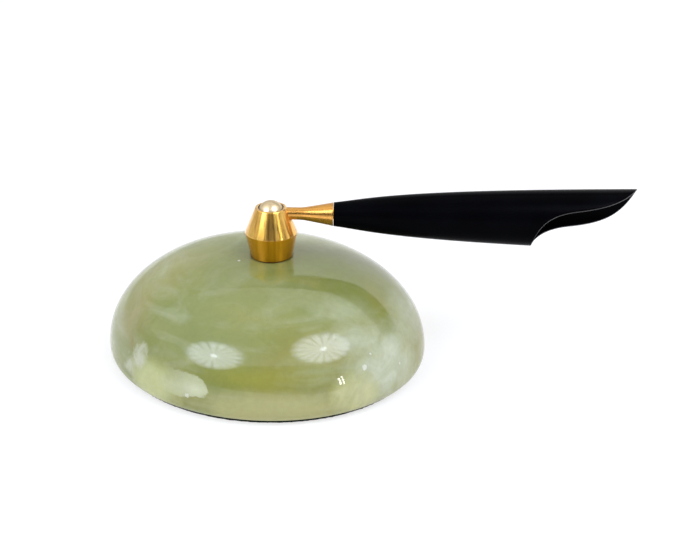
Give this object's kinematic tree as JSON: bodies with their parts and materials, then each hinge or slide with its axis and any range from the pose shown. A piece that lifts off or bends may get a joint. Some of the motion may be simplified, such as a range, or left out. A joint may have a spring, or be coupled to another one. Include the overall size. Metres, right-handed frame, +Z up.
{
  "type": "desk pen holder",
  "caption": "Desk pen holder: polished onyx dome base, brass ball-and-socket swivel on top, flared brass stem and a scooped black trumpet that holds a pen.",
  "frame": {"origin": "on the felt underside, straight below the socket's axis; the stone's middle is 2.1 mm to -X and 1.65 mm to +Y of it", "axes": "+Z up, away from the desk; +X from the socket along the trumpet as it lies at rest; +Y across the base"},
  "size_m": [0.1679, 0.1017, 0.0563],
  "materials": {
    "onyx": "polished translucent green onyx",
    "felt": "dark green felt",
    "brass": "turned and lacquered",
    "polished_brass": "mirror polished, pale",
    "black_plastic": "moulded, glossy",
    "steel": "zinc plated",
    "spring_steel": "bright drawn",
    "nylon": "natural nylon",
    "fibre": "red vulcanised fibre"
  },
  "bodies": {
    "base": {"stone_base": "onyx", "felt_pad": "felt", "recess_fibre_washer": "fibre", "steel_washer": "steel", "wave_washer": "spring_steel", "clamp_nut": "steel", "jam_nut": "steel", "mounting_stud": "steel"},
    "socket": {"foot_gasket": "fibre", "socket_foot": "brass", "socket_cap": "brass", "ball_cup": "nylon", "tension_spring": "spring_steel"},
    "ball": {"pivot_ball": "polished_brass"},
    "holder": {"stem": "brass", "trumpet_insert": "brass", "pen_trumpet": "black_plastic"}
  },
  "joints": [
    {"name": "socket_swivel", "type": "hinge", "parent": "base", "child": "socket", "pos_m": [0, 0, 0.035], "axis": [0, 0, 1], "continuous": true},
    {"name": "holder_tilt", "type": "hinge", "parent": "socket", "child": "ball", "pos_m": [0, 0, 0.049], "axis": [0, -1, 0], "range_deg": [-9.5, 120]},
    {"name": "holder_roll", "type": "hinge", "parent": "ball", "child": "holder", "pos_m": [0, 0, 0.049], "axis": [0.9998, 0, -0.0201], "continuous": true}
  ]
}
